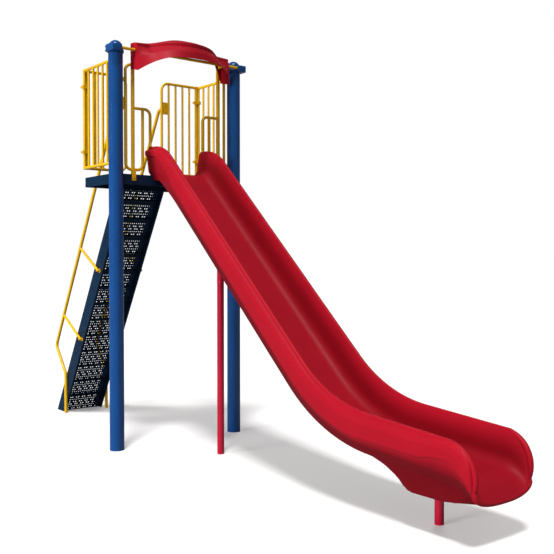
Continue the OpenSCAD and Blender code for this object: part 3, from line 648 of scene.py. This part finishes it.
def hood_section(y):
    """Outer (x, z) chain at y, from the rear edge over the top to the front lip."""
    bulge, crown, ridge = hood_shape(y)
    lip_x, lip_z = 0.140 + 0.212 * bulge, LIP_Z + 0.127 * bulge
    groove_x, groove_z = 0.122 + 0.195 * ridge, GROOVE_Z + 0.016 * min(1.0, 2 * ridge)
    ledge = 0.004 + 0.010 * min(1.0, 2.5 * ridge)
    # up the rear skin, over the crown, into the groove before the ledge and down the front to the lip
    corners = [
        (HOOD_BACK, rear_low(y), 0),
        (HOOD_BACK, REAR_TOP_Z + 0.022 * crown, 0.006),
        (0.045 + 0.020 * ridge, CROWN_REAR_Z + 0.045 * crown, 0.05),
        (0.098 + 0.090 * ridge, CROWN_FRONT_Z + 0.070 * crown, 0.030),
        (groove_x - 0.4 * ledge, groove_z + 0.030 + 0.012 * crown, 0.012),
        (groove_x - ledge, groove_z + 0.006, 0.005),
        (groove_x + 0.008, groove_z - 0.004, 0.009),
        (groove_x + 0.55 * (lip_x - groove_x) + 0.008, groove_z + 0.42 * (lip_z - groove_z), 0.06),
        (lip_x, lip_z, 0)]
    return rounded_chain(corners, 5)


def hood_inside(chain):
    """The section's inner skin, SKIN inside the outer one."""
    moved = []
    for k, (x, z) in enumerate(chain):
        a, b = chain[max(0, k - 1)], chain[min(len(chain) - 1, k + 1)]
        t = unit((b[0] - a[0], b[1] - a[1]))
        moved.append((x + t[1] * SKIN, z - t[0] * SKIN))
    moved[0] = (chain[0][0] + SKIN, chain[0][1])
    moved[-1] = (chain[-1][0] - SKIN, chain[-1][1])
    return moved


def build_hood():
    """Closed shell: outer and inner skins joined along the rear edge and the lip, with solid end walls."""
    inner = HOOD_END[-1]
    ys = [-y for y in HOOD_END]
    ys += [-inner + 2 * inner * k / HOOD_SPANS for k in range(1, HOOD_SPANS)]
    ys += HOOD_END[::-1]
    n = len(ys) - 1
    outer = [hood_section(y) for y in ys]
    m = len(outer[0])
    verts = [(POST_X + x, y, z) for chain, y in zip(outer, ys) for x, z in chain]
    base = len(verts)
    first, last = len(HOOD_END) - 1, n - len(HOOD_END) + 1
    for i in range(first, last + 1):
        verts += [(POST_X + x, ys[i], z) for x, z in hood_inside(outer[i])]

    def o(i, j):
        """Number of the outer skin's point j at place i."""
        return i * m + j

    def q(i, j):
        """Number of the inner skin's point j at place i."""
        return base + (i - first) * m + j

    faces = [(o(i, j), o(i + 1, j), o(i + 1, j + 1), o(i, j + 1)) for i in range(n) for j in range(m - 1)]
    faces += [(q(i, j), q(i, j + 1), q(i + 1, j + 1), q(i + 1, j))
              for i in range(first, last) for j in range(m - 1)]
    for i in range(first, last):
        faces.append((o(i, m - 1), o(i + 1, m - 1), q(i + 1, m - 1), q(i, m - 1)))
        faces.append((q(i, 0), q(i + 1, 0), o(i + 1, 0), o(i, 0)))
    faces.append(tuple(o(0, j) for j in range(m)))
    faces.append(tuple(o(n, j) for j in range(m - 1, -1, -1)))
    faces.append(tuple(q(first, j) for j in range(m - 1, -1, -1)))
    faces.append(tuple(q(last, j) for j in range(m)))
    # undersides of the end walls, which also take in the inner skin's corners where they meet it
    for i in (*range(first), *range(last, n)):
        under = [o(i, m - 1), o(i + 1, m - 1), o(i + 1, 0), o(i, 0)]
        if i == first - 1:
            under[2:2] = [q(first, m - 1), q(first, 0)]
        if i == last:
            under += [q(last, 0), q(last, m - 1)]
        faces.append(tuple(under))
    make_piece("hood_shell", "hood", verts, faces, RED_PLASTIC, 50)


build_hood()


# ---------- post collars ----------

COLLAR_EDGE = 0.004
BAND_H, BAND_GAP = 0.028, 0.0002
BAND_SIDES, CORNER_STEPS = 64, 5
# the block that grips the hood bar, and the plate on the outer side of the post
BLOCK_LENGTH, BLOCK_INSIDE, BLOCK_R, BLOCK_DROP = 0.043, 0.018, 0.0135, 0.005
PLATE_REAR, PLATE_FRONT, PLATE_W, PLATE_R = 0.032, 0.022, 0.022, 0.008


def soft_edge(z, inward):
    """(z, inset) steps that round an edge of COLLAR_EDGE off, from the flat face at z inwards along z."""
    steps = ((0, 1), (0.3, 0.3), (1, 0))
    return [(z + inward * COLLAR_EDGE * up, COLLAR_EDGE * inset) for up, inset in steps]


def soft_block(lo, hi, r):
    """Box with rounded upright edges of radius r and softened top and bottom edges, as verts and faces."""
    def outline(z, inset):
        ring = []
        q = r - inset
        for k, (x, y) in enumerate([(hi[0] - r, hi[1] - r), (lo[0] + r, hi[1] - r),
                                    (lo[0] + r, lo[1] + r), (hi[0] - r, lo[1] + r)]):
            for j in range(CORNER_STEPS + 1):
                a = math.pi / 2 * (k + j / CORNER_STEPS)
                ring.append((x + q * math.cos(a), y + q * math.sin(a), z))
        return ring

    levels = soft_edge(lo[2], 1) + soft_edge(hi[2], -1)[::-1]
    return skin_rings([outline(z, inset) for z, inset in levels])


def band(centre, z0, z1, r_in, r_out):
    """Round band about an upright axis, as verts and faces."""
    rounded = [(r_out - inset, z) for z, inset in soft_edge(z0, 1) + soft_edge(z1, -1)[::-1]]
    profile = [(r_in, z0), *rounded, (r_in, z1)]
    n = len(profile)
    verts, faces = [], []
    for k in range(BAND_SIDES):
        a = 2 * math.pi * k / BAND_SIDES
        verts += [(centre[0] + r * math.cos(a), centre[1] + r * math.sin(a), z) for r, z in profile]
        m = (k + 1) % BAND_SIDES
        faces += [(k * n + j, k * n + (j + 1) % n, m * n + (j + 1) % n, m * n + j) for j in range(n)]
    return verts, faces


def build_collar(side_name, side):
    """Band round a post with the block that holds the hood bar in front and an outer plate for the bolts."""
    lo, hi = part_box(f"{side_name}_post_collar")
    post_r = (POST_HI.x - POST_LO.x) / 2
    reach = max(abs(lo.y), abs(hi.y))
    block = (hi.x - BLOCK_LENGTH, hi.x, POST_Y - BLOCK_INSIDE, BLOCK_DROP, BLOCK_R)
    plate = (POST_X - PLATE_REAR, hi.x - PLATE_FRONT, reach - PLATE_W, 0.0, PLATE_R)
    parts = [band((POST_X, side * POST_Y), lo.z, lo.z + BAND_H, post_r + BAND_GAP, POST_X - lo.x)]
    for x0, x1, inside, drop, r in (block, plate):
        y0, y1 = sorted((side * inside, side * reach))
        parts.append(soft_block((x0, y0, lo.z), (x1, y1, hi.z - drop), r))
    verts, faces = [], []
    for v, f in parts:
        faces += [tuple(i + len(verts) for i in face) for face in f]
        verts += v
    make_piece(f"{side_name}_collar", f"{side_name}_post_collar", verts, faces, BLUE)


build_collar("right", -1)
build_collar("left", 1)


# ---------- stage ----------

FLOOR_HALF = 40.0
FLOOR_DARK, FLOOR_LIGHT = (0.97, 0.96, 0.955), (1.0, 0.99, 0.985)
FLOOR_BOUNCE, FLOOR_SEEN, FLOOR_GLOW = 0.28, 0.86, 0.22
GLOW_COLOUR = (1.0, 0.985, 0.98, 1.0)
# strength of the sky away from and towards SKY_TOWARD, and as mirrors see it
SKY_TOWARD = (0.64, -0.77, 0)
AMBIENT = (0.05, 0.38)
MIRRORED = 0.15


def camera_switch(tree, other, seen):
    """One value for what the camera sees directly and another for all other rays."""
    path = tree.nodes.new("ShaderNodeLightPath")
    switch = tree.nodes.new("ShaderNodeMapRange")
    switch.inputs["To Max"].default_value = seen
    if isinstance(other, float):
        switch.inputs["To Min"].default_value = other
    else:
        tree.links.new(other, switch.inputs["To Min"])
    tree.links.new(path.outputs["Is Camera Ray"], switch.inputs["Value"])
    return path, switch.outputs["Result"]


def floor():
    """Pale floor that returns less light to the object than the camera sees."""
    mesh = bpy.data.meshes.new("floor")
    half = FLOOR_HALF
    corners = [(-half, -half, 0), (half, -half, 0), (half, half, 0), (-half, half, 0)]
    mesh.from_pydata(corners, [], [(0, 1, 2, 3)])
    obj = bpy.data.objects.new("floor", mesh)
    bpy.context.scene.collection.objects.link(obj)
    mat, tree, shader = new_material("pale_floor")
    cloud = ramp(tree, noise(tree, 2.0, 3.0), (0.0, FLOOR_DARK), (1.0, FLOOR_LIGHT))
    level = camera_switch(tree, FLOOR_BOUNCE, FLOOR_SEEN)[1]
    tree.links.new(scaled(tree, cloud, level), shader.inputs["Base Color"])
    shader.inputs["Emission Color"].default_value = GLOW_COLOUR
    tree.links.new(camera_switch(tree, 0.0, FLOOR_GLOW)[1], shader.inputs["Emission Strength"])
    shader.inputs["Roughness"].default_value = 0.9
    shader.inputs["Specular IOR Level"].default_value = 0.0
    obj.data.materials.append(mat)


def world():
    """White backdrop for the camera, dim in reflections, and brightest towards SKY_TOWARD for the rest."""
    w = bpy.data.worlds.new("studio")
    bpy.context.scene.world = w
    w.use_nodes = True
    tree = w.node_tree
    back = tree.nodes["Background"]
    coord = tree.nodes.new("ShaderNodeTexCoord")
    dot = tree.nodes.new("ShaderNodeVectorMath")
    dot.operation = "DOT_PRODUCT"
    dot.inputs[1].default_value = SKY_TOWARD
    tree.links.new(coord.outputs["Generated"], dot.inputs[0])
    soft = tree.nodes.new("ShaderNodeMapRange")
    soft.inputs["From Min"].default_value = -1.0
    soft.inputs["To Min"].default_value = AMBIENT[0]
    soft.inputs["To Max"].default_value = AMBIENT[1]
    tree.links.new(dot.outputs["Value"], soft.inputs["Value"])
    mirror = tree.nodes.new("ShaderNodeMapRange")
    mirror.inputs["To Max"].default_value = MIRRORED
    tree.links.new(soft.outputs["Result"], mirror.inputs["To Min"])
    path, level = camera_switch(tree, mirror.outputs["Result"], 1.0)
    tree.links.new(path.outputs["Is Glossy Ray"], mirror.inputs["Value"])
    tree.links.new(level, back.inputs["Strength"])
    back.inputs["Color"].default_value = (1, 1, 1, 1)


def sun(name, toward, strength, spread_deg, glints=True):
    """Distant soft light; toward is the direction from the object to the light."""
    data = bpy.data.lights.new(name, "SUN")
    data.energy = strength
    data.angle = math.radians(spread_deg)
    obj = bpy.data.objects.new(name, data)
    obj.visible_glossy = glints
    obj.rotation_euler = (-Vector(toward)).to_track_quat("-Z", "Y").to_euler()
    bpy.context.scene.collection.objects.link(obj)


floor()
world()
sun("key", (0.31, -0.30, 1.0), 2.2, 9.0)
sun("side", (-0.03, -0.99, 0.11), 3.0, 20.0, glints=False)
sun("back", (-0.60, 0.75, 0.35), 1.2, 30.0, glints=False)


# ---------- camera ----------

EYE = Vector((POST_X + 6.5462, -4.0533, 1.6848))
YAW, PITCH = math.radians(51.388), math.radians(-1.247)
SENSOR_MM, LENS_MM = 36.0, 53.56


def camera():
    """Camera at EYE, turned YAW from the y axis towards the object."""
    level = math.cos(PITCH)
    look = Vector((-math.sin(YAW) * level, math.cos(YAW) * level, math.sin(PITCH)))
    data = bpy.data.cameras.new("camera")
    data.sensor_width = SENSOR_MM
    data.lens = LENS_MM
    obj = bpy.data.objects.new("camera", data)
    obj.location = EYE
    obj.rotation_euler = look.to_track_quat("-Z", "Y").to_euler()
    bpy.context.scene.collection.objects.link(obj)
    bpy.context.scene.camera = obj


camera()
bpy.context.scene.view_settings.view_transform = "Standard"
